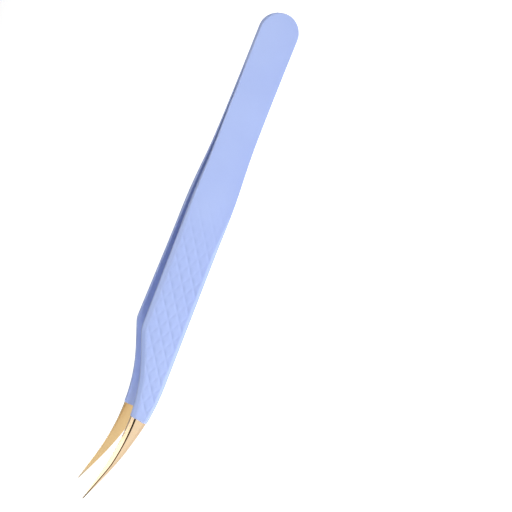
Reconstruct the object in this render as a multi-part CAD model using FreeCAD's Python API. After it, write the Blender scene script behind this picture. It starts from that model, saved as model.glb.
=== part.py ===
import FreeCAD, Part
import math
import os

# Curved-tip precision tweezers: two spring-steel arms spot-welded together at the
# tail, powder coated from the tail to the roots of the tips, with bare gold-plated tips.
#
# Frame, in millimetres: +X towards the tail, +Y towards the right arm, +Z towards the
# belly side that the tips curve to.  The tweezers stand on the straight back edges of
# their grips, at Z = 0, and are mirror-symmetric about Y = 0.
#
# Everything is worked out along s, the distance from the tail end.  At each s an arm
# lies between a back and a front edge, measured across from the centre line of the
# blank, and between an inner and an outer face, measured out from the mirror plane.

# Overall
LENGTH = 125.0
GRIP_WIDTH = 10.4
TAIL_WIDTH = 9.4
COAT = 0.12
HALF_LENGTH = LENGTH / 2
HALF_WIDTH = GRIP_WIDTH / 2

# Stations along the tweezers
WELD_END = 12.0
RELIEF_START = 17.0
HINGE = 24.0
FLARE_START = 30.0
BEND_END = 34.0
RELIEF_END = 36.0
LEAF_END = 48.0
GRIP_START = 51.0
BELLY = 81.0
BELLY_ROUND = 1.0
NECK_START = 87.5
BACK_CURVE_START = 92.5
THINNING_START = 98.0
COAT_END = 102.5
THROAT = 103.0
THINNING_EVEN = 104.0
TIP_STRAIGHT = 118.5
PAD_START = 119.0

# Edge slopes of the blank seen from the side
NECK_SLOPE = 0.365
TIP_FRONT_SLOPE = 0.27
TIP_BACK_SLOPE = 0.43
POINT_BACK_SLOPE = 0.46

# Steel thickness, and how far the arms stand apart when nothing presses them
TAIL_STEEL = 1.23
LEAF_STEEL = 0.75
GRIP_STEEL = 1.86
POINT_STEEL = 0.22
TIP_GAP = 12.5
OPENING_SLOPE = 0.0755
POINT_RADIUS = 0.15

# Bevels along the outer face
LEAF_BEVEL = 0.15
GRIP_BEVEL = 0.85
BEVEL_GROW_START = 44.0
BEVEL_GROW_END = 62.0
# The most that a bevel takes of the arm's width, and of its thickness
BEVEL_WIDTH_SHARE = 0.49
BEVEL_DEPTH_SHARE = 0.6

# Diamond grooves in the coat of the grip
GROOVE_ANGLE = 33.0
GROOVE_PITCH = 2.5
GROOVE_DEPTH = 0.08
GROOVE_HALF_WIDTH = 0.22
GROOVE_START = 50.0
GROOVE_END = 98.0
GROOVE_MARGIN = 1.2
# Where two of the grooves cross: distance from the tail end, and height
CROSSING = 49.2
CROSSING_HEIGHT = 0.25
# Grooves that start outside their field follow the surface at this distance inside it
GROOVE_INSET = 2.0

# Spot welds between the tail leaves: distance from the tail end, and height
WELD_SPOTS = ((4.4, 0.0), (8.8, 2.2), (8.8, -2.2))
WELD_RADIUS = 1.2
WELD_DEPTH = 0.3

# Half the depth of the plates that the arms are cut from, how far the bevels' envelope
# reaches past the arm, the share of the flat face that it may rise over each bevel, and
# the height under which a curve counts as straight
DEPTH = 20.0
ROOF_REACH = 1.5
ROOF_RISE_SHARE = 0.4
STRAIGHT = 1e-9

LEFT = -1
RIGHT = 1
SIDES = {"left": LEFT, "right": RIGHT}


class Law:
    """A height along s whose slope changes evenly from each station to the next."""

    def __init__(self, start, stations):
        self.start = start
        self.stations = stations

    def marks(self):
        return [s for s, _ in self.stations]

    def at(self, s):
        height = self.start
        for (s0, a), (s1, b) in zip(self.stations, self.stations[1:]):
            run = min(s, s1) - s0
            if run > 0:
                height += a * run + (b - a) * run * run / (2 * (s1 - s0))
        return height


def steps(*rises):
    """Stations of a height that rises smoothly by each amount between two stations."""
    stations = [(0.0, 0.0)]
    for rise, begin, end in rises:
        peak = 2 * rise / (end - begin)
        stations += [(begin, 0.0), ((begin + end) / 2, peak), (end, 0.0)]
    return stations


def front_law():
    """The belly edge of the steel: straight grip, belly corner, neck and curved tip."""
    flare = ((GRIP_WIDTH - TAIL_WIDTH) / 2, FLARE_START, GRIP_START)
    rest = [
        (BELLY - BELLY_ROUND, 0.0),
        (BELLY + BELLY_ROUND, -NECK_SLOPE),
        (NECK_START, -NECK_SLOPE),
        (THROAT, 0.0),
        (TIP_STRAIGHT, TIP_FRONT_SLOPE),
        (LENGTH, TIP_FRONT_SLOPE),
    ]
    return Law(TAIL_WIDTH / 2 - COAT, steps(flare) + rest)


def back_law():
    """The back edge of the steel: straight grip, then one long curve up to the point."""
    flare = ((TAIL_WIDTH - GRIP_WIDTH) / 2, FLARE_START, GRIP_START)
    rest = [
        (BACK_CURVE_START, 0.0),
        (TIP_STRAIGHT, TIP_BACK_SLOPE),
        (LENGTH, POINT_BACK_SLOPE),
    ]
    return Law(COAT - TAIL_WIDTH / 2, steps(flare) + rest)


def pad_slope():
    """Slope of the tip pads at rest: they lie flush once the arm has turned by this."""
    return TIP_GAP / 2 / (LENGTH - HINGE)


def opening_law():
    """How far an arm stands out: flat weld land, opening bend, gentle bow and tip pad."""
    bend_rise = OPENING_SLOPE * (BEND_END - WELD_END) / 2
    pad_rise = pad_slope() * (PAD_START - HINGE)
    bow_end = 2 * (pad_rise - bend_rise) / (PAD_START - BEND_END) - OPENING_SLOPE
    stations = [
        (0.0, 0.0),
        (WELD_END, 0.0),
        (BEND_END, OPENING_SLOPE),
        (PAD_START, bow_end),
        (PAD_START, pad_slope()),
        (LENGTH, pad_slope()),
    ]
    return Law(0.0, stations)


def blank_law():
    """Thickness of the blank before its spring is relieved: tail, grip and thinning tip."""
    slope = (GRIP_STEEL - POINT_STEEL) / (LENGTH - (THINNING_START + THINNING_EVEN) / 2)
    growth = steps((GRIP_STEEL - TAIL_STEEL, HINGE, GRIP_START))
    tip = [(THINNING_START, 0.0), (THINNING_EVEN, -slope), (LENGTH, -slope)]
    return Law(TAIL_STEEL, growth + tip)


def relief_law():
    """How much is ground off the inner face to make the thin leaf of the spring."""
    relief = TAIL_STEEL - LEAF_STEEL
    cut = (relief, WELD_END, RELIEF_START)
    run_out = (-relief, RELIEF_END, GRIP_START)
    return Law(0.0, steps(cut, run_out) + [(LENGTH, 0.0)])


def inner_film_law():
    """Coat thickness on the inner face, which starts in the slit beside the welds."""
    return Law(0.0, steps((COAT, WELD_END + 1.0, RELIEF_START + 1.0)) + [(LENGTH, 0.0)])


def bevel_law():
    growth = (GRIP_BEVEL - LEAF_BEVEL, BEVEL_GROW_START, BEVEL_GROW_END)
    return Law(LEAF_BEVEL, steps(growth) + [(LENGTH, 0.0)])


FRONT = front_law()
BACK = back_law()
OPENING = opening_law()
BLANK = blank_law()
RELIEF = relief_law()
INNER_FILM = inner_film_law()
BEVEL = bevel_law()


def front_edge(s, film):
    return FRONT.at(s) + film


def back_edge(s, film):
    return BACK.at(s) - film


def inner_face(s, film):
    """The inner face of the steel, or of the coat on it where a film is asked for."""
    return OPENING.at(s) + RELIEF.at(s) - (INNER_FILM.at(s) if film else 0.0)


def outer_face(s, film):
    return OPENING.at(s) + BLANK.at(s) + film


def point(side, s, across, out):
    """A point given along, across and out from the mirror plane, in the part's frame."""
    return FreeCAD.Vector(HALF_LENGTH - s, side * out, HALF_WIDTH + across)


def curve(height, laws, begin, end, place):
    """Exact edges of a height along s: lines and parabolas that meet at the laws' stations."""
    marks = sorted({begin, end} | {s for law in laws for s in law.marks() if begin < s < end})
    edges = []
    for s0, s1 in zip(marks, marks[1:]):
        h0, h1 = height(s0), height(s1)
        middle = (s0 + s1) / 2
        pole = 2 * height(middle) - (h0 + h1) / 2
        if abs(pole - (h0 + h1) / 2) < STRAIGHT:
            edges.append(Part.LineSegment(place(s0, h0), place(s1, h1)).toShape())
        else:
            bezier = Part.BezierCurve()
            bezier.setPoles([place(s0, h0), place(middle, pole), place(s1, h1)])
            edges.append(bezier.toShape())
    return edges


def closed_face(edges):
    return Part.Face(Part.Wire(Part.__sortEdges__(edges)))


def side_plate(film):
    """The blank seen from the side, as a plate that is thick enough for both arms."""
    def place(s, across):
        return point(LEFT, s, across, DEPTH)

    radius = TAIL_WIDTH / 2 - COAT + film
    begin = TAIL_WIDTH / 2
    end = LENGTH - POINT_RADIUS
    middle = (front_edge(LENGTH, film) + back_edge(LENGTH, film)) / 2
    front = curve(lambda s: front_edge(s, film), [FRONT], begin, end, place)
    back = curve(lambda s: back_edge(s, film), [BACK], begin, end, place)
    tail = Part.Arc(place(begin, radius), place(begin - radius, 0.0), place(begin, -radius))
    nose = Part.Arc(
        place(end, front_edge(end, film)), place(LENGTH, middle), place(end, back_edge(end, film))
    )
    face = closed_face(front + back + [tail.toShape(), nose.toShape()])
    return face.extrude(FreeCAD.Vector(0.0, 2 * DEPTH, 0.0))


def thickness_plate(side, film):
    """One arm seen from above, as a plate that is tall enough for its whole width."""
    def place(s, out):
        return point(side, s, -DEPTH, out)

    inner_laws = [OPENING, RELIEF, INNER_FILM]
    inner = curve(lambda s: inner_face(s, film), inner_laws, 0.0, LENGTH, place)
    outer = curve(lambda s: outer_face(s, film), [OPENING, BLANK], 0.0, LENGTH, place)
    ends = [
        Part.LineSegment(place(s, inner_face(s, film)), place(s, outer_face(s, film))).toShape()
        for s in (0.0, LENGTH)
    ]
    return closed_face(inner + outer + ends).extrude(FreeCAD.Vector(0.0, 0.0, 2 * DEPTH))


def roof_section(side, s, film):
    """A section that is larger than the arm's, but for the two bevels along its outer face."""
    front, back, outer = front_edge(s, film), back_edge(s, film), outer_face(s, film)
    most_across = BEVEL_WIDTH_SHARE * (front - back)
    most_out = BEVEL_DEPTH_SHARE * (outer - inner_face(s, film))
    bevel = min(BEVEL.at(s), most_across, most_out)
    rise = min(ROOF_REACH, ROOF_RISE_SHARE * (front - back - 2 * bevel))
    floor = outer - bevel - 3 * ROOF_REACH
    corners = [
        point(side, s, back - ROOF_REACH, floor),
        point(side, s, front + ROOF_REACH, floor),
        point(side, s, front + ROOF_REACH, outer - bevel - ROOF_REACH),
        point(side, s, front - bevel - rise, outer + rise),
        point(side, s, back + bevel + rise, outer + rise),
        point(side, s, back - ROOF_REACH, outer - bevel - ROOF_REACH),
    ]
    return Part.makePolygon(corners + corners[:1])


def roof(side, film):
    """The bevelled envelope of one arm, drawn closely at the belly corner and the tip."""
    leaf = [0.0, WELD_END, HINGE, FLARE_START, BEND_END, (FLARE_START + GRIP_START) / 2]
    grip = [BEVEL_GROW_START, LEAF_END, 53.0, 58.0, BEVEL_GROW_END, 68.0, 74.0]
    belly = [BELLY - 3.0, BELLY - BELLY_ROUND, BELLY, BELLY + BELLY_ROUND, BELLY + 3.0]
    neck = [NECK_START, BACK_CURVE_START, THINNING_START, THROAT]
    tip = [107.0, 111.0, 115.0, PAD_START, 122.0, LENGTH]
    wires = [roof_section(side, s, film) for s in leaf + grip + belly + neck + tip]
    return Part.makeLoft(wires, True, False)


def arm(side, film):
    """One whole arm from tail to point, in bare steel or with a film of coat on it."""
    return side_plate(film).common(thickness_plate(side, film)).common(roof(side, film))


def between(solid, start, end):
    """What lies between two stations of a solid."""
    block = Part.makeBox(end - start, 2 * DEPTH, 2 * DEPTH)
    block.translate(FreeCAD.Vector(HALF_LENGTH - end, -DEPTH, HALF_WIDTH - DEPTH))
    return solid.common(block)


def weld_nugget(spot):
    """One weld: a disc of fused steel that reaches the same depth into each leaf."""
    s, across = spot
    start = point(LEFT, s, across, WELD_DEPTH)
    return Part.makeCylinder(WELD_RADIUS, 2 * WELD_DEPTH, start, FreeCAD.Vector(0, 1, 0))


def spot_welds():
    return Part.makeCompound([weld_nugget(spot) for spot in WELD_SPOTS])


def tail_leaf(steel):
    leaf = between(steel, 0.0, HINGE)
    return leaf.cut([weld_nugget(spot) for spot in WELD_SPOTS])


def skin(coated, steel, start, end):
    """The coat alone between two stations: the outside with the steel taken out."""
    return between(coated, start, end).cut(steel)


def groove(side, s, lean):
    """One V-shaped groove across the grip, which passes the crossings' height at s."""
    angle = lean * math.radians(GROOVE_ANGLE)
    reach = GRIP_WIDTH
    touch = min(max(s, GROOVE_START + GROOVE_INSET), GROOVE_END - GROOVE_INSET)
    tilt = (outer_face(touch + 1.0, COAT) - outer_face(touch - 1.0, COAT)) / 2
    surface = outer_face(touch, COAT) + tilt * (s - touch)
    centre = point(side, s, CROSSING_HEIGHT, surface)
    run = math.cos(angle)
    rise = math.sin(angle)
    along = point(side, s + run, CROSSING_HEIGHT + rise, surface + tilt * run) - centre
    along.normalize()
    outward = FreeCAD.Vector(tilt, side, 0.0)
    outward.normalize()
    start = centre - along * reach
    lip = outward * GROOVE_DEPTH
    spread = along.cross(outward) * (2 * GROOVE_HALF_WIDTH)
    triangle = [start - lip, start + lip + spread, start + lip - spread, start - lip]
    return Part.Face(Part.makePolygon(triangle)).extrude(along * (2 * reach))


def groove_field():
    """The part of the grips' outer faces that the grooves cover, as a deep plate."""
    def place(s, across):
        return point(LEFT, s, across, DEPTH)

    def front(s):
        return front_edge(s, -GROOVE_MARGIN)

    def back(s):
        return back_edge(s, -GROOVE_MARGIN)

    edges = curve(front, [FRONT], GROOVE_START, GROOVE_END, place)
    edges += curve(back, [BACK], GROOVE_START, GROOVE_END, place)
    for s in (GROOVE_START, GROOVE_END):
        edges.append(Part.LineSegment(place(s, front(s)), place(s, back(s))).toShape())
    return closed_face(edges).extrude(FreeCAD.Vector(0.0, 2 * DEPTH, 0.0))


def diamond_grooves(side):
    """Both families of grooves, cut off at the edge of their field."""
    field = groove_field()
    step = GROOVE_PITCH / math.sin(math.radians(GROOVE_ANGLE))
    first = math.floor((GROOVE_START - GRIP_WIDTH - CROSSING) / step)
    last = math.ceil((GROOVE_END + GRIP_WIDTH - CROSSING) / step)
    cuts = []
    for lean in (-1, 1):
        for i in range(first, last + 1):
            cuts += field.common(groove(side, CROSSING + i * step, lean)).Solids
    return cuts


def grip_coat(side, coated, steel):
    return skin(coated, steel, LEAF_END, COAT_END).cut(diamond_grooves(side))


def arm_parts(name, side):
    """All the pieces of one arm, by node name."""
    coated = arm(side, COAT)
    steel = arm(side, 0.0)
    return {
        name + "_tail_leaf": tail_leaf(steel),
        name + "_tail_coat": skin(coated, steel, 0.0, HINGE),
        name + "_spring_leaf": between(steel, HINGE, LEAF_END),
        name + "_spring_coat": skin(coated, steel, HINGE, LEAF_END),
        name + "_grip_core": between(steel, LEAF_END, COAT_END),
        name + "_grip_coat": grip_coat(side, coated, steel),
        name + "_tip": between(steel, COAT_END, LENGTH),
    }


def all_parts():
    parts = {"tail_spot_welds": spot_welds()}
    for name, side in SIDES.items():
        parts.update(arm_parts(name, side))
    return parts


os.makedirs("parts", exist_ok=True)
for node, shape in all_parts().items():
    print(node, "solids", len(shape.Solids), "volume", round(shape.Volume, 3), "valid", shape.isValid())
    shape.exportStep("parts/" + node + ".step")
print("closing angle, degrees:", round(math.degrees(math.atan(pad_slope())), 3))
print("coat inner face at the hinge:", round(inner_face(HINGE, COAT), 4))
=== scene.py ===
import math

import bmesh
import bpy
import numpy as np
from mathutils import Matrix, Vector


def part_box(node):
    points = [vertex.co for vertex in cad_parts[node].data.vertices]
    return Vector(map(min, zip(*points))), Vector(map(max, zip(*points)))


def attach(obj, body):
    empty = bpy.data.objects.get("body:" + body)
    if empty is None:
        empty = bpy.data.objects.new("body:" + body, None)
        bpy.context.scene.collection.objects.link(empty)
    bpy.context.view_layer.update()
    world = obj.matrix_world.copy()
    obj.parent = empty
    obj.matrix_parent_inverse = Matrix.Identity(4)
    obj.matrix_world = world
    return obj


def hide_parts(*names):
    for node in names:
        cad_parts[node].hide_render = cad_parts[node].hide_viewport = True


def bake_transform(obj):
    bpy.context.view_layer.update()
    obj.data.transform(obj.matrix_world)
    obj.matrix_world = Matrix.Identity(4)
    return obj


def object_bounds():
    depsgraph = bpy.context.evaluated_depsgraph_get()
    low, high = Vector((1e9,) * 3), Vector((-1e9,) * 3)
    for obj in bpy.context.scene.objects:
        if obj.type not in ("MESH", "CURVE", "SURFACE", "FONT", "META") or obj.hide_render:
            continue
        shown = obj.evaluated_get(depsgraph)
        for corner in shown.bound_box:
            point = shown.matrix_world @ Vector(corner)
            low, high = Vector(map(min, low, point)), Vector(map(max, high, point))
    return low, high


# The looks of a pair of curved-tip precision tweezers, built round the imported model: one
# sprayed coat over each arm, the steel blank inside it and the gold-plated tip.
#
# Shapes are worked out in millimetres along s, the distance from the tail end.  At each s
# an arm lies between a back and a front edge, measured across, and between an inner and an
# outer face, measured out from the mirror plane.  These laws are the model's own.

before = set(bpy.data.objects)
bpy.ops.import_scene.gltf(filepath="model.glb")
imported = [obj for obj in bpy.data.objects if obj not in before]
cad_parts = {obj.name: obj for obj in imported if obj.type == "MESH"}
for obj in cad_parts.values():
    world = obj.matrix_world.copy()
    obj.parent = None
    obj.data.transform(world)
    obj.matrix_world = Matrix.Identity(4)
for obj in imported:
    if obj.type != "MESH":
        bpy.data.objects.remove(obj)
cad_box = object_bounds()

MM = 0.001
LEFT = -1
RIGHT = 1
SIDES = {"left": LEFT, "right": RIGHT}

# Overall
LENGTH = (cad_box[1].x - cad_box[0].x) / MM
GRIP_WIDTH = (cad_box[1].z - cad_box[0].z) / MM
TAIL_WIDTH = 9.4
TAIL_RADIUS = TAIL_WIDTH / 2
COAT = 0.12
HALF_LENGTH = LENGTH / 2
HALF_WIDTH = GRIP_WIDTH / 2

# Stations along the tweezers
WELD_END = 12.0
RELIEF_START = 17.0
HINGE = HALF_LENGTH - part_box("left_spring_leaf")[1].x / MM
FLARE_START = 30.0
BEND_END = 34.0
RELIEF_END = 36.0
GRIP_START = 51.0
BELLY = 81.0
BELLY_ROUND = 1.0
NECK_START = 87.5
BACK_CURVE_START = 92.5
THINNING_START = 98.0
COAT_END = HALF_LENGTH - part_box("left_tip")[1].x / MM
THROAT = 103.0
THINNING_EVEN = 104.0
TIP_STRAIGHT = 118.5
PAD_START = 119.0

# Edge slopes, steel thickness and how far the arms stand apart
NECK_SLOPE = 0.365
TIP_FRONT_SLOPE = 0.27
TIP_BACK_SLOPE = 0.43
POINT_BACK_SLOPE = 0.46
TAIL_STEEL = 1.23
LEAF_STEEL = 0.75
GRIP_STEEL = 1.86
POINT_STEEL = 0.22
TIP_GAP = 12.5
OPENING_SLOPE = 0.0755
POINT_RADIUS = 0.15

# Bevels along the outer face
LEAF_BEVEL = 0.15
GRIP_BEVEL = 0.85
BEVEL_GROW_START = 44.0
BEVEL_GROW_END = 62.0

# Diamond relief of the grip: two families of grooves, the second (lean -1) drawn fainter,
# and each groove down to the share SHALLOW of its depth where it meets the other family
GROOVE_ANGLE = math.radians(33.0)
GROOVE_PITCH = 2.5
GROOVE_DEPTH = 0.13
FAMILY_SHARE = {-1: 0.62, 1: 1.0}
GROOVE_HALF_WIDTH = 0.36
GROOVE_ROUNDNESS = 1.6
SHALLOW = 0.36
CROSSING = 49.2
CROSSING_HEIGHT = 0.25


class Law:
    """A height along s whose slope changes evenly from each station to the next."""

    def __init__(self, start, stations):
        self.start = start
        self.stations = stations

    def at(self, s):
        s = np.asarray(s, float)
        height = np.full(s.shape, self.start)
        for (s0, a), (s1, b) in zip(self.stations, self.stations[1:]):
            if s1 > s0:
                run = np.clip(s - s0, 0.0, s1 - s0)
                height = height + a * run + (b - a) * run * run / (2 * (s1 - s0))
        return height


def steps(*rises):
    """Stations of a height that rises smoothly by each amount between two stations."""
    stations = [(0.0, 0.0)]
    for rise, begin, end in rises:
        peak = 2 * rise / (end - begin)
        stations += [(begin, 0.0), ((begin + end) / 2, peak), (end, 0.0)]
    return stations


def front_law():
    flare = ((GRIP_WIDTH - TAIL_WIDTH) / 2, FLARE_START, GRIP_START)
    rest = [
        (BELLY - BELLY_ROUND, 0.0),
        (BELLY + BELLY_ROUND, -NECK_SLOPE),
        (NECK_START, -NECK_SLOPE),
        (THROAT, 0.0),
        (TIP_STRAIGHT, TIP_FRONT_SLOPE),
        (LENGTH, TIP_FRONT_SLOPE),
    ]
    return Law(TAIL_RADIUS - COAT, steps(flare) + rest)


def back_law():
    flare = ((TAIL_WIDTH - GRIP_WIDTH) / 2, FLARE_START, GRIP_START)
    rest = [
        (BACK_CURVE_START, 0.0),
        (TIP_STRAIGHT, TIP_BACK_SLOPE),
        (LENGTH, POINT_BACK_SLOPE),
    ]
    return Law(COAT - TAIL_RADIUS, steps(flare) + rest)


def opening_law():
    pad_slope = TIP_GAP / 2 / (LENGTH - HINGE)
    bend_rise = OPENING_SLOPE * (BEND_END - WELD_END) / 2
    pad_rise = pad_slope * (PAD_START - HINGE)
    bow_end = 2 * (pad_rise - bend_rise) / (PAD_START - BEND_END) - OPENING_SLOPE
    stations = [
        (0.0, 0.0),
        (WELD_END, 0.0),
        (BEND_END, OPENING_SLOPE),
        (PAD_START, bow_end),
        (PAD_START, pad_slope),
        (LENGTH, pad_slope),
    ]
    return Law(0.0, stations)


def blank_law():
    slope = (GRIP_STEEL - POINT_STEEL) / (LENGTH - (THINNING_START + THINNING_EVEN) / 2)
    growth = steps((GRIP_STEEL - TAIL_STEEL, HINGE, GRIP_START))
    tip = [(THINNING_START, 0.0), (THINNING_EVEN, -slope), (LENGTH, -slope)]
    return Law(TAIL_STEEL, growth + tip)


def relief_law():
    relief = TAIL_STEEL - LEAF_STEEL
    cut = (relief, WELD_END, RELIEF_START)
    run_out = (-relief, RELIEF_END, GRIP_START)
    return Law(0.0, steps(cut, run_out) + [(LENGTH, 0.0)])


def inner_film_law():
    return Law(0.0, steps((1.0, WELD_END + 1.0, RELIEF_START + 1.0)) + [(LENGTH, 0.0)])


def bevel_law():
    growth = (GRIP_BEVEL - LEAF_BEVEL, BEVEL_GROW_START, BEVEL_GROW_END)
    return Law(LEAF_BEVEL, steps(growth) + [(LENGTH, 0.0)])


FRONT = front_law()
BACK = back_law()
OPENING = opening_law()
BLANK = blank_law()
RELIEF = relief_law()
INNER_FILM = inner_film_law()
BEVEL = bevel_law()


# ---------------------------------------------------------------- sections of an arm

RIDGE_FACETS = 6
CORNER_FACETS = 4
TAIL_RINGS = 16
# Where the lines across a bevel or a side band lie, close to both of its rounded ends
SUPPORT = np.array([0.08, 0.5, 0.92])
# The most that a bevel or a rounded corner takes of the section's thickness or width
MAX_BEVEL_DEPTH = 0.6
MAX_BEVEL_WIDTH = 0.46
MAX_LOWER_CORNER = 0.3
MAX_INNER_CORNER = 0.2
# How much of the inner corners' rounding is left at the seam between the tail leaves
SEAM_ROUNDING = 0.4
# Bevels lead in square to the coat's edges and straight across the tip.  The change takes
# this many millimetres on either side of the tip's root.
SKEW_RUN_OUT = 3.0
SLOPE_STEP = 0.01

# The relief fades in over these distances from an edge, along the grip, and at its end
CARVED_INSET = (0.65, 1.15)
CARVED_START = (44.0, 66.0)
CARVED_END = (COAT_END - 2.4, COAT_END - 1.0)

# The coat ends a little before the tip's root on the belly side and after it on the back,
# and it runs further on the right arm.  Its last stretch wavers a little round the arm.
PAINT_END = COAT_END - 0.25
PAINT_SHIFT = {LEFT: 0.0, RIGHT: 0.35}
PAINT_TILT = 0.32
TILT_START = 97.0
WAVER_START = PAINT_END - 1.2
WAVER_FULL = PAINT_END - 0.2
WAVER = 0.03
# Count round the arm, size and phase of each wave
WAVES = ((7, 1.0, 1.0), (17, 0.7, 2.1), (41, 0.5, 0.0))

# The painted dark reflection along the tip's belly-side ridge is wider near the root.  It is left
# off the inner face and the lowest share of the steel over it, where its mark says that it is far
# off.
LINE_HALF_WIDTH = 0.13
LINE_ROOT_EXTRA = 0.09
LINE_TAPER = 9.0
LINE_LOWEST = 0.25
FAR_OFF = 4.0
# Wear on the small corners, where it is 1 on the ridges
CORNER_WEAR = 0.6


def smooth(x, low, high):
    """0 below low, 1 above high, and an S-curve between."""
    t = np.clip((np.asarray(x, float) - low) / (high - low), 0.0, 1.0)
    return t * t * (3.0 - 2.0 * t)


def inner_face(s, film):
    """The inner face under a film of coat, or inside the steel where the film is negative."""
    share = np.where(film > 0, INNER_FILM.at(s), 1.0)
    return OPENING.at(s) + RELIEF.at(s) - film * share


def outer_face(s, film):
    return OPENING.at(s) + BLANK.at(s) + film


def groove(s, across):
    """Depth of the diamond relief from 0 to 1.

    Two families of soft grooves cross, one fainter than the other, and each is deepest
    midway between its crossings."""
    line = {}
    for lean in (-1, 1):
        along = (s - CROSSING) * math.sin(GROOVE_ANGLE)
        line[lean] = along + lean * (across - CROSSING_HEIGHT) * math.cos(GROOVE_ANGLE)
    left_over = 1.0
    for lean in (-1, 1):
        off = np.abs((line[lean] + GROOVE_PITCH / 2) % GROOVE_PITCH - GROOVE_PITCH / 2)
        midway = np.sin(math.pi * line[-lean] / GROOVE_PITCH) ** 2
        strength = FAMILY_SHARE[lean] * (SHALLOW + (1 - SHALLOW) * midway)
        dip = np.exp(-((off / GROOVE_HALF_WIDTH) ** GROOVE_ROUNDNESS))
        left_over = left_over * (1.0 - strength * dip)
    return 1.0 - left_over


class Stations:
    """The rings to build along an arm: where each meets both edges, and its film of coat.

    Round the tail the edges are an arc, and angle says where on it a ring lies."""

    def __init__(self, angle, front, back, film):
        self.angle = angle
        self.front = front
        self.back = back
        self.film = film

    @classmethod
    def tail(cls, film):
        angle = np.linspace(0.0, math.pi / 2, TAIL_RINGS + 1)[:-1]
        s = np.full(TAIL_RINGS, TAIL_RADIUS)
        return cls(angle, s, s, np.full(TAIL_RINGS, film))

    @classmethod
    def along(cls, s, film, tilt=0.0):
        s = np.atleast_1d(np.asarray(s, float))
        lean = tilt * smooth(s, TILT_START, PAINT_END)
        return cls(np.full(len(s), math.pi), s - lean, s + lean, np.full(len(s), film))

    def then(self, other):
        joined = [np.concatenate(pair) for pair in zip(self.all(), other.all())]
        return Stations(*joined)

    def reverse(self):
        return Stations(*[part[::-1] for part in self.all()])

    def all(self):
        return self.angle, self.front, self.back, self.film


class Form:
    """How the edges of an arm's section are bevelled and rounded, and how finely it is drawn."""

    def __init__(self, bevel_share, ridge, lower, inner, flat, pad):
        self.bevel_share = bevel_share
        self.ridge = ridge
        self.lower = lower
        self.inner = inner
        self.flat = flat
        self.pad = pad


def unit(vectors):
    return vectors / np.linalg.norm(vectors, axis=1)[:, None]


def slope(law, s):
    return (law.at(s + SLOPE_STEP) - law.at(s - SLOPE_STEP)) / (2 * SLOPE_STEP)


def edge_points(at):
    """Both edges at each ring as (s, across), and the directions that lead into the arm."""
    ones = np.ones_like(at.front)
    skew = 1 - smooth(at.front, COAT_END - SKEW_RUN_OUT, COAT_END + SKEW_RUN_OUT)
    front = np.stack([at.front, FRONT.at(at.front) + at.film], 1)
    back = np.stack([at.back, BACK.at(at.back) - at.film], 1)
    front_in = unit(np.stack([skew * slope(FRONT, at.front), -ones], 1))
    back_in = unit(np.stack([-skew * slope(BACK, at.back), ones], 1))
    tail = at.angle < math.pi / 2
    radius = (TAIL_RADIUS - COAT + at.film[tail])[:, None]
    toward = np.stack([np.cos(at.angle[tail]), np.sin(at.angle[tail])], 1)
    front[tail] = [TAIL_RADIUS, 0.0] + radius * toward * [-1, 1]
    back[tail] = [TAIL_RADIUS, 0.0] + radius * toward * [-1, -1]
    front_in[tail] = toward * [1, -1]
    back_in[tail] = toward
    return front, back, front_in, back_in


def corner(radius, begin, end, count):
    """Sine and cosine of the angles of a rounded corner, each times its radius."""
    share = np.linspace(0.0, 1.0, count + 1)[None, :]
    turn = begin[:, None] + (end - begin)[:, None] * share
    return radius[:, None] * np.sin(turn), radius[:, None] * np.cos(turn)


def outer_corner(across, depth, ridge, lower):
    """A bevelled outer edge: distances in from the edge, and depths under the outer face."""
    lean = np.arctan2(depth, across)
    upright = np.full_like(lean, math.pi / 2)
    sine, cosine = corner(ridge, np.zeros_like(lean), lean, RIDGE_FACETS)
    ridge_in = (across + ridge * np.tan(lean / 2))[:, None] - sine
    ridge_down = ridge[:, None] - cosine
    sine, cosine = corner(lower, lean, upright, CORNER_FACETS)
    lower_in = lower[:, None] - sine
    lower_down = (depth + lower * np.tan((upright - lean) / 2))[:, None] - cosine
    slant_in = between(ridge_in[:, -1:], lower_in[:, :1], SUPPORT)
    slant_down = between(ridge_down[:, -1:], lower_down[:, :1], SUPPORT)
    inward = np.concatenate([ridge_in, slant_in, lower_in], 1)
    return inward, np.concatenate([ridge_down, slant_down, lower_down], 1)


def inner_corner(radius):
    """A rounded inner edge: distances in from the edge, and heights over the inner face."""
    flat = np.zeros_like(radius)
    sine, cosine = corner(radius, flat, flat + math.pi / 2, CORNER_FACETS)
    return radius[:, None] - cosine, radius[:, None] - sine


def between(first, last, shares):
    """Points on the lines between two columns of points, at the shares given."""
    shares = shares if first.ndim == 2 else shares[:, None]
    return first * (1 - shares) + last * shares


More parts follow.
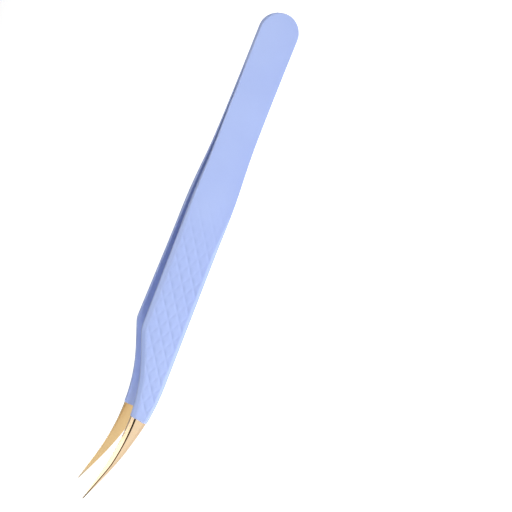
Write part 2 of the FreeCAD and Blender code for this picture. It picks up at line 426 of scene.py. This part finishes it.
def rings(form, at):
    """Rings of points round an arm, as (s, across, out)."""
    front, back, front_in, back_in = edge_points(at)
    film = at.film
    s = (front[:, 0] + back[:, 0]) / 2
    thick = outer_face(s, film) - inner_face(s, film)
    width = FRONT.at(s) - BACK.at(s) + 2 * film
    depth = np.minimum(BEVEL.at(s), MAX_BEVEL_DEPTH * thick)
    across = np.minimum(BEVEL.at(s) * form.bevel_share, MAX_BEVEL_WIDTH * width)
    lower = np.minimum(form.lower, MAX_LOWER_CORNER * thick)
    seam = SEAM_ROUNDING + (1 - SEAM_ROUNDING) * smooth(s, WELD_END, RELIEF_START)
    inner = np.minimum(form.inner * seam, MAX_INNER_CORNER * thick)
    out_in, out_down = outer_corner(across, depth, form.ridge(s) * across, lower)
    low_in, low_up = inner_corner(inner)

    def outer_points(edge, inward):
        flat = edge[:, None, :] + inward[:, None, :] * out_in[:, :, None]
        height = outer_face(flat[..., 0], film[:, None]) - out_down
        return np.concatenate([flat, height[..., None]], 2)

    def inner_points(edge, inward):
        flat = edge[:, None, :] + inward[:, None, :] * low_in[:, :, None]
        height = inner_face(flat[..., 0], film[:, None]) + low_up
        return np.concatenate([flat, height[..., None]], 2)

    front_out, back_out = outer_points(front, front_in), outer_points(back, back_in)
    front_low, back_low = inner_points(front, front_in), inner_points(back, back_in)
    flat = between(back_out[:, :1], front_out[:, :1], np.linspace(0, 1, form.flat + 1)[1:-1])
    pad = between(front_low[:, -1:], back_low[:, -1:], np.linspace(0, 1, form.pad + 1)[1:-1])
    flat[..., 2] = outer_face(flat[..., 0], film[:, None])
    pad[..., 2] = inner_face(pad[..., 0], film[:, None])
    front_band = between(front_out[:, -1:], front_low[:, :1], SUPPORT)
    back_band = between(back_low[:, :1], back_out[:, -1:], SUPPORT)
    loop = [flat, front_out, front_band, front_low, pad, back_low[:, ::-1], back_band]
    return np.concatenate(loop + [back_out[:, ::-1]], 1)


def edge_marks(form):
    """For each point of a ring, 1 on the ridge of a bevel and less on the other edges."""
    ridge = np.sin(np.linspace(0, math.pi, RIDGE_FACETS + 1))
    small = CORNER_WEAR * np.sin(np.linspace(0, math.pi, CORNER_FACETS + 1))
    plain = np.zeros(len(SUPPORT))
    outer = np.concatenate([ridge, plain, small])
    parts = [np.zeros(form.flat - 1), outer, plain, small, np.zeros(form.pad - 1)]
    return np.concatenate(parts + [small, plain, outer[::-1]])


def painted_reflection_marks(form, points):
    """How far each point is from the belly side's ridge line, in half widths of that line, which is
    painted on as a dark reflection.
    """
    s, across = points[..., 0], points[..., 1]
    width = FRONT.at(s) - BACK.at(s)
    bevel = np.minimum(BEVEL.at(s) * form.bevel_share, MAX_BEVEL_WIDTH * width)
    near_root = 1 - smooth(s, COAT_END, COAT_END + LINE_TAPER)
    off = (FRONT.at(s) - across - bevel) / (LINE_HALF_WIDTH + LINE_ROOT_EXTRA * near_root)
    low = points[..., 2] < inner_face(s, 0.0) + LINE_LOWEST * BLANK.at(s)
    inside = pad_marks(form) + low
    return np.where(inside > 0, FAR_OFF, np.clip(np.abs(off), 0.0, FAR_OFF))


def pad_marks(form):
    """For each point of a ring, 1 on the inner face."""
    outer = form.flat + RIDGE_FACETS + CORNER_FACETS + 1 + 2 * len(SUPPORT)
    before = np.zeros(outer)
    around = np.ones(form.pad - 1 + 2 * (CORNER_FACETS + 1))
    return np.concatenate([before, around, np.zeros(outer - form.flat + 1)])


def carve(form, points):
    """Presses the diamond relief into the outer face, and returns its depth from 0 to 1."""
    s, across = points[..., 0], points[..., 1]
    inset = np.minimum(FRONT.at(s) - across, across - BACK.at(s)) + COAT
    depth = groove(s, across) * smooth(inset, *CARVED_INSET)
    depth *= smooth(s, *CARVED_START) * (1 - smooth(s, *CARVED_END))
    outside = np.zeros(points.shape[1], bool)
    outside[: form.flat - 1 + RIDGE_FACETS] = True
    outside[-RIDGE_FACETS:] = True
    depth *= outside
    points[..., 2] -= GROOVE_DEPTH * depth
    return depth


def ragged(points, shift):
    """Shifts the last points along the arm, so that the sprayed edge isn't drawn with a rule."""
    turn = np.linspace(0, 2 * math.pi, points.shape[1], endpoint=False)
    wave = sum(size * np.sin(count * turn + phase) for count, size, phase in WAVES)
    near = smooth(points[..., 0], WAVER_START, WAVER_FULL)
    points[..., 0] += (shift + WAVER * wave) * near


# ---------------------------------------------------------------- meshes

WELD_DISTANCE = 2e-7


def make_piece(name, side, points, marks, cap_start=False, cap_end=False):
    """A closed mesh through rings of points, with its marks and its unbent place as attributes."""
    count, around = points.shape[:2]
    flat = points.reshape(-1, 3)
    place = np.stack(
        [HALF_LENGTH - flat[:, 0], side * flat[:, 2], HALF_WIDTH + flat[:, 1]], 1
    ) * MM
    column = np.arange(around)
    ring = np.arange(count - 1)[:, None] * around
    after = (column + 1) % around
    quads = np.stack([ring + column, ring + after, ring + around + after, ring + around + column], 2)
    faces = quads.reshape(-1, 4).tolist()
    if cap_start:
        faces.append(column[::-1].tolist())
    if cap_end:
        faces.append((column + (count - 1) * around).tolist())
    mesh = bpy.data.meshes.new(name)
    mesh.from_pydata(place.tolist(), [], faces)
    unbent = mesh.attributes.new("blank", "FLOAT_VECTOR", "POINT")
    unbent.data.foreach_set("vector", (flat * [1, 1, side]).astype(np.float32).ravel())
    for key, values in marks.items():
        attribute = mesh.attributes.new(key, "FLOAT", "POINT")
        attribute.data.foreach_set("value", values.astype(np.float32).ravel())
    shape = bmesh.new()
    shape.from_mesh(mesh)
    bmesh.ops.remove_doubles(shape, verts=shape.verts, dist=WELD_DISTANCE)
    bmesh.ops.recalc_face_normals(shape, faces=shape.faces)
    shape.to_mesh(mesh)
    shape.free()
    mesh.polygons.foreach_set("use_smooth", np.ones(len(mesh.polygons), bool))
    piece = bpy.data.objects.new(name, mesh)
    bpy.context.scene.collection.objects.link(piece)
    return piece


def bend(piece):
    """Bakes the piece's transform into its mesh; nothing bends it or ties it to the tail or an arm.
    """
    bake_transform(piece)


def round_ridge(s):
    """A ridge rounded over as much as its bevel is wide."""
    return np.ones_like(s)


def tip_ridge(s):
    """The tip's ridge is widely rounded at its root, and half as much 8 mm further on."""
    return 0.9 - 0.45 * smooth(s, COAT_END, COAT_END + 8.0)


COAT_FORM = Form(bevel_share=1.0, ridge=round_ridge, lower=0.35, inner=0.2, flat=72, pad=8)
BLANK_FORM = Form(bevel_share=1.0, ridge=round_ridge, lower=0.3, inner=0.15, flat=12, pad=6)
TIP_FORM = Form(bevel_share=1.12, ridge=tip_ridge, lower=0.16, inner=0.1, flat=14, pad=8)

# The coat's lip: how far back each ring lies, in shares of LIP, and its share of the film
LIP = 0.1
LIP_RINGS = ((0.3, 0.95), (0.08, 0.78), (0.0, 0.45))
SOCKET_FILM = 0.004
CAVITY_FILM = -0.1
BLANK_FILM = -0.13
SOCKET_START = 101.1
SOCKET_END = SOCKET_START + 0.1
BLANK_END = 101.0

# How finely the pieces are drawn along the arm
PLAIN_STEP = 0.9
FINE_START = 45.0
FINE_RINGS = 480
CAVITY_STEP = 2.0
BLANK_STEP = 1.0
TIP_RINGS = 110
NOSE_RINGS = 6


def coat_stations():
    """Outside from the tail to the painted edge, round its lip, and back inside."""
    plain = np.arange(TAIL_RADIUS, FINE_START, PLAIN_STEP)
    relief = np.linspace(FINE_START, PAINT_END - LIP, FINE_RINGS)
    at = Stations.tail(COAT).then(Stations.along(np.concatenate([plain, relief]), COAT, PAINT_TILT))
    for back, share in LIP_RINGS:
        at = at.then(Stations.along(PAINT_END - back * LIP, COAT * share, PAINT_TILT))
    outside = len(at.front)
    socket = Stations.along([PAINT_END, SOCKET_END], SOCKET_FILM, PAINT_TILT)
    cavity = np.arange(SOCKET_START, TAIL_RADIUS, -CAVITY_STEP)
    inside = Stations.along(cavity, CAVITY_FILM, PAINT_TILT)
    at = at.then(socket).then(inside).then(Stations.tail(CAVITY_FILM).reverse())
    return at, outside


def make_coat(name, side):
    at, outside = coat_stations()
    points = rings(COAT_FORM, at)
    carved = np.zeros(points.shape[:2])
    # the relief's depth, which is also the mask of the painted shade in its grooves
    carved[:outside] = carve(COAT_FORM, points[:outside])
    edge = np.tile(edge_marks(COAT_FORM), (len(points), 1))
    ragged(points, PAINT_SHIFT[side])
    coat = make_piece(name + "_powder_coat", side, points, {"edge": edge, "carved": carved})
    coat.data.materials.append(powder_coat())
    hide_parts(name + "_tail_coat", name + "_spring_coat", name + "_grip_coat")
    bend(coat)
    return coat


def make_blank(name, side):
    """The spring-steel blank inside the coat, cut off where the gold-plated tip begins."""
    s = np.concatenate([np.arange(TAIL_RADIUS, BLANK_END, BLANK_STEP), [BLANK_END]])
    at = Stations.tail(BLANK_FILM).then(Stations.along(s, BLANK_FILM))
    points = rings(BLANK_FORM, at)
    blank = make_piece(name + "_steel_blank", side, points, {}, cap_end=True)
    blank.data.materials.append(spring_steel())
    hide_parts(name + "_tail_leaf", name + "_spring_leaf", name + "_grip_core")
    bend(blank)
    return blank


def make_tip(name, side):
    """The bare tip from its root under the coat to its rounded point."""
    nose_start = LENGTH - POINT_RADIUS
    nose = nose_start + POINT_RADIUS * np.sin(np.linspace(0, math.pi / 2, NOSE_RINGS + 1))[1:]
    s = np.concatenate([np.linspace(BLANK_END, nose_start, TIP_RINGS), nose])
    points = rings(TIP_FORM, Stations.along(s, 0.0))
    middle = points.mean(axis=1, keepdims=True)
    past = np.clip((s - nose_start) / POINT_RADIUS, 0.0, 1.0)
    size = np.sqrt(1.0 - past**2)[:, None, None]
    points[..., 1:] = middle[..., 1:] + (points[..., 1:] - middle[..., 1:]) * size
    marks = {
        # the ridge mark is the mask of a painted reflection: a dark line along the belly-side ridge
        "ridge": painted_reflection_marks(TIP_FORM, points),
        "pad": np.tile(pad_marks(TIP_FORM), (len(points), 1)),
    }
    tip = make_piece(name + "_gold_tip", side, points, marks, cap_start=True)
    tip.data.materials.append(polished_gold())
    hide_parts(name + "_tip")
    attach(tip, name + "_arm")
    return tip


# ---------------------------------------------------------------- materials

class Nodes:
    """A short way to write a material's nodes."""

    def __init__(self, name):
        self.material = bpy.data.materials.new(name)
        self.material.use_nodes = True
        self.tree = self.material.node_tree
        self.shader = self.tree.nodes["Principled BSDF"]

    def add(self, kind, values=None, **settings):
        node = self.tree.nodes.new("ShaderNode" + kind)
        for key, value in settings.items():
            setattr(node, key, value)
        for key, value in (values or {}).items():
            if isinstance(value, bpy.types.NodeSocket):
                self.tree.links.new(value, node.inputs[key])
            else:
                node.inputs[key].default_value = value
        return node

    def mark(self, name):
        return self.add("Attribute", attribute_name=name).outputs["Fac"]

    def blank(self, stretch=(1.0, 1.0, 1.0)):
        """Millimetres along, across and out of the unbent arm, times stretch."""
        place = self.add("Attribute", attribute_name="blank").outputs["Vector"]
        return self.add("VectorMath", {0: place, 1: stretch}, operation="MULTIPLY").outputs[0]

    def noise(self, place, scale, detail=3.0, roughness=0.5):
        values = {"Vector": place, "Scale": scale, "Detail": detail, "Roughness": roughness}
        return self.add("TexNoise", values).outputs["Fac"]

    def ranged(self, value, low, high, to_low=0.0, to_high=1.0):
        values = {"Value": value, 1: low, 2: high, 3: to_low, 4: to_high}
        return self.add("MapRange", values, interpolation_type="SMOOTHSTEP").outputs[0]

    def maths(self, operation, first, second):
        return self.add("Math", {0: first, 1: second}, operation=operation).outputs[0]

    def mixed(self, share, first, second):
        node = self.add("Mix", {"Factor": share}, data_type="RGBA")
        for socket, value in ((node.inputs[6], first), (node.inputs[7], second)):
            if isinstance(value, bpy.types.NodeSocket):
                self.tree.links.new(value, socket)
            else:
                socket.default_value = (*value, 1.0)
        return node.outputs[2]

    def bump(self, height, distance, strength=1.0, normal=None):
        values = {"Height": height, "Distance": distance * MM, "Strength": strength}
        if normal is not None:
            values["Normal"] = normal
        return self.add("Bump", values).outputs[0]

    def finish(self, **values):
        for key, value in values.items():
            socket = self.shader.inputs[key.replace("_", " ")]
            if isinstance(value, bpy.types.NodeSocket):
                self.tree.links.new(value, socket)
            else:
                socket.default_value = value
        return self.material


COAT_COLOUR = (0.42, 0.525, 0.88)
# COAT_DEEP_TONE_AND_GROOVE_SHADE serves both as a random deeper tone of the coat and as the painted
# shade in the relief's grooves
COAT_DEEP_TONE_AND_GROOVE_SHADE = (0.345, 0.44, 0.82)
COAT_WORN = (0.52, 0.62, 0.93)
GOLD = (0.71, 0.53, 0.34)
GOLD_MATT = (0.66, 0.47, 0.235)
# colour of the painted reflection, a dark line along the tip's belly-side ridge
GOLD_PAINTED_REFLECTION = (0.045, 0.03, 0.015)
GOLD_GREY = (0.50, 0.44, 0.36)
STEEL = (0.56, 0.57, 0.58)
STEEL_BRIGHT = (0.66, 0.67, 0.68)
WELD_BLUE = (0.20, 0.22, 0.30)
WELD_STRAW = (0.45, 0.36, 0.22)
FLOOR_TONE = (0.60, 0.60, 0.60)
FLOOR_PALE = (0.63, 0.63, 0.63)
FLOOR_GLOW = 0.92
# How far from the point its wear begins, and where it is complete
WORN_START = 4.5
WORN_FULL = 0.4


def powder_coat():
    """Satin polymer coat: faint orange peel, painted shade in the relief's grooves, paler on the
    edges.
    """
    if "powder_coat_satin" in bpy.data.materials:
        return bpy.data.materials["powder_coat_satin"]
    n = Nodes("powder_coat_satin")
    place = n.blank()
    drift = n.noise(place, 0.09, 2.0)
    grain = n.noise(place, 7.0, 2.0)
    peel = n.noise(place, 1.5, 2.0, 0.4)
    colour = n.mixed(n.ranged(drift, 0.35, 0.65, 0.0, 0.25), COAT_COLOUR, COAT_DEEP_TONE_AND_GROOVE_SHADE)
    colour = n.mixed(n.ranged(grain, 0.45, 0.75, 0.0, 0.12), colour, COAT_WORN)
    # painted shade: the relief's grooves are darkened towards the deep tone
    colour = n.mixed(n.ranged(n.mark("carved"), 0.1, 1.0, 0.0, 0.12), colour, COAT_DEEP_TONE_AND_GROOVE_SHADE)
    wear = n.maths("MULTIPLY", n.mark("edge"), n.ranged(peel, 0.3, 0.7, 0.1, 0.4))
    colour = n.mixed(wear, colour, COAT_WORN)
    rough = n.ranged(grain, 0.3, 0.7, 0.36, 0.46)
    normal = n.bump(peel, 0.02, 0.5)
    normal = n.bump(grain, 0.004, 0.5, normal)
    return n.finish(Base_Color=colour, Roughness=rough, Normal=normal, Metallic=0.0)


def polished_gold():
    """Gold plate: fine polish lines, a painted dark reflection along the belly-side ridge, a matt
    inner face and a worn point.
    """
    if "gold_plate_polished" in bpy.data.materials:
        return bpy.data.materials["gold_plate_polished"]
    n = Nodes("gold_plate_polished")
    place = n.blank()
    lines = n.noise(n.blank((0.35, 9.0, 9.0)), 1.0, 3.0, 0.6)
    cloud = n.noise(place, 0.5, 2.0)
    along = n.add("SeparateXYZ", {0: place}).outputs[0]
    worn = n.ranged(along, LENGTH - WORN_START, LENGTH - WORN_FULL)
    # painted reflection: the ridge mark darkens the gold towards a near-black line along the
    # belly-side ridge
    ridge = n.ranged(n.mark("ridge"), 1.25, 0.75, 0.0, 0.97)
    colour = n.mixed(n.ranged(cloud, 0.4, 0.7, 0.0, 0.15), GOLD, GOLD_GREY)
    colour = n.mixed(n.mark("pad"), colour, GOLD_MATT)
    colour = n.mixed(n.maths("MULTIPLY", worn, 0.75), colour, GOLD_GREY)
    colour = n.mixed(ridge, colour, GOLD_PAINTED_REFLECTION)
    rough = n.ranged(lines, 0.3, 0.7, 0.1, 0.18)
    rough = n.maths("ADD", rough, n.maths("MULTIPLY", n.mark("pad"), 0.2))
    normal = n.bump(lines, 0.002, 0.4)
    return n.finish(Base_Color=colour, Roughness=rough, Normal=normal, Metallic=1.0)


def spring_steel():
    """Ground spring steel with lengthwise grinding lines."""
    if "spring_steel_ground" in bpy.data.materials:
        return bpy.data.materials["spring_steel_ground"]
    n = Nodes("spring_steel_ground")
    lines = n.noise(n.blank((0.3, 12.0, 12.0)), 1.0, 4.0, 0.6)
    colour = n.mixed(n.ranged(lines, 0.3, 0.7), STEEL, STEEL_BRIGHT)
    rough = n.ranged(lines, 0.3, 0.7, 0.28, 0.42)
    return n.finish(
        Base_Color=colour, Roughness=rough, Normal=n.bump(lines, 0.004, 0.5), Metallic=1.0
    )


def weld_metal():
    """Fused steel with heat tints from blue to straw."""
    n = Nodes("weld_metal_tinted")
    place = n.add("TexCoord").outputs["Object"]
    ripple = n.noise(place, 1.6 / MM, 3.0)
    colour = n.mixed(n.ranged(ripple, 0.35, 0.65), WELD_BLUE, WELD_STRAW)
    rough = n.ranged(ripple, 0.3, 0.7, 0.35, 0.55)
    return n.finish(
        Base_Color=colour, Roughness=rough, Normal=n.bump(ripple, 0.02, 0.6), Metallic=1.0
    )


def floor_surface():
    """A pale floor that glows, as a white sweep lit from behind does."""
    n = Nodes("studio_floor")
    place = n.add("TexCoord").outputs["Object"]
    tone = n.mixed(n.ranged(n.noise(place, 6.0), 0.4, 0.6), FLOOR_TONE, FLOOR_PALE)
    white = (1.0, 1.0, 1.0, 1.0)
    return n.finish(
        Base_Color=tone, Roughness=0.9, Emission_Color=white, Emission_Strength=FLOOR_GLOW
    )


# ---------------------------------------------------------------- studio

FLOOR_SIZE = 8.0
FLOOR_DROP = 0.02 * MM
AIM = Vector((6.52, 0.0, -10.41)) * MM
DISTANCE = 303.4 * MM
AZIMUTH = math.radians(8.06)
ELEVATION = math.radians(16.56)
ROLL = math.radians(-70.03)
LENS = 87.83
SENSOR = 36.0
CLIP = (0.01, 20.0)
WORLD_STRENGTH = 0.0
WORLD_SEEN = 0.9
WORLD_REFLECTED = 0.42


def add_floor():
    half = FLOOR_SIZE / 2
    corners = [(-half, -half), (half, -half), (half, half), (-half, half)]
    mesh = bpy.data.meshes.new("studio_floor")
    mesh.from_pydata([(x, y, -FLOOR_DROP) for x, y in corners], [], [(0, 1, 2, 3)])
    mesh.materials.append(floor_surface())
    floor = bpy.data.objects.new("studio_floor", mesh)
    bpy.context.scene.collection.objects.link(floor)


def add_area(name, place, size, power, diffuse=True, glossy=True):
    """A softbox at a place in metres that faces the tweezers.

    It can be left out of what it lights (diffuse) or out of the reflections (glossy)."""
    light = bpy.data.lights.new(name, "AREA")
    light.shape = "RECTANGLE"
    light.size, light.size_y = size
    light.energy = power
    box = bpy.data.objects.new(name, light)
    box.location = place
    box.rotation_euler = (-Vector(place)).to_track_quat("-Z", "Y").to_euler()
    box.visible_diffuse = diffuse
    box.visible_glossy = glossy
    bpy.context.scene.collection.objects.link(box)


def add_world():
    """A white surround that the camera sees, dimmer in reflections and no light on its own."""
    world = bpy.data.worlds.new("studio")
    world.use_nodes = True
    tree = world.node_tree
    background = tree.nodes["Background"]
    background.inputs["Color"].default_value = (1.0, 1.0, 1.0, 1.0)
    ray = tree.nodes.new("ShaderNodeLightPath")
    strength = WORLD_STRENGTH
    for kind, value in (("Is Glossy Ray", WORLD_REFLECTED), ("Is Camera Ray", WORLD_SEEN)):
        pick = tree.nodes.new("ShaderNodeMix")
        tree.links.new(ray.outputs[kind], pick.inputs["Factor"])
        pick.inputs["B"].default_value = value
        if isinstance(strength, float):
            pick.inputs["A"].default_value = strength
        else:
            tree.links.new(strength, pick.inputs["A"])
        strength = pick.outputs["Result"]
    tree.links.new(strength, background.inputs["Strength"])
    bpy.context.scene.world = world


def add_camera():
    """The camera at its azimuth and elevation round the aim, rolled about its own axis."""
    lens = bpy.data.cameras.new("camera")
    lens.sensor_width = SENSOR
    lens.lens = LENS
    lens.clip_start, lens.clip_end = CLIP
    camera = bpy.data.objects.new("camera", lens)
    level = math.cos(ELEVATION)
    back = Vector((math.sin(AZIMUTH) * level, -math.cos(AZIMUTH) * level, math.sin(ELEVATION)))
    right = Vector((0, 0, 1)).cross(back).normalized()
    up = back.cross(right)
    turned_right = right * math.cos(ROLL) + up * math.sin(ROLL)
    turned_up = back.cross(turned_right)
    axes = Matrix((turned_right, turned_up, back)).transposed()
    camera.matrix_world = Matrix.Translation(AIM + back * DISTANCE) @ axes.to_4x4()
    bpy.context.scene.collection.objects.link(camera)
    bpy.context.scene.camera = camera


bpy.context.scene.view_settings.view_transform = "Standard"
add_world()
add_floor()
add_area("key", (0.64, -1.02, 0.05), (0.6, 0.6), 6.2, glossy=False)
add_area("fill", (-0.13, -0.28, 0.02), (0.1, 0.02), 0.17, glossy=False)
add_area("top", (0.0, 0.12, 1.19), (0.6, 0.6), 8.4)
add_area("rear", (-0.30, 1.10, 0.10), (0.6, 0.15), 0.6, glossy=False)
add_area("card", (-0.10, -0.36, 0.48), (0.34, 0.30), 0.6, diffuse=False)
add_camera()

for side_name, side_sign in SIDES.items():
    make_coat(side_name, side_sign)
    make_blank(side_name, side_sign)
    make_tip(side_name, side_sign)

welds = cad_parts["tail_spot_welds"]
weld_material = weld_metal()
for weld_slot in welds.material_slots:
    weld_slot.material = weld_material
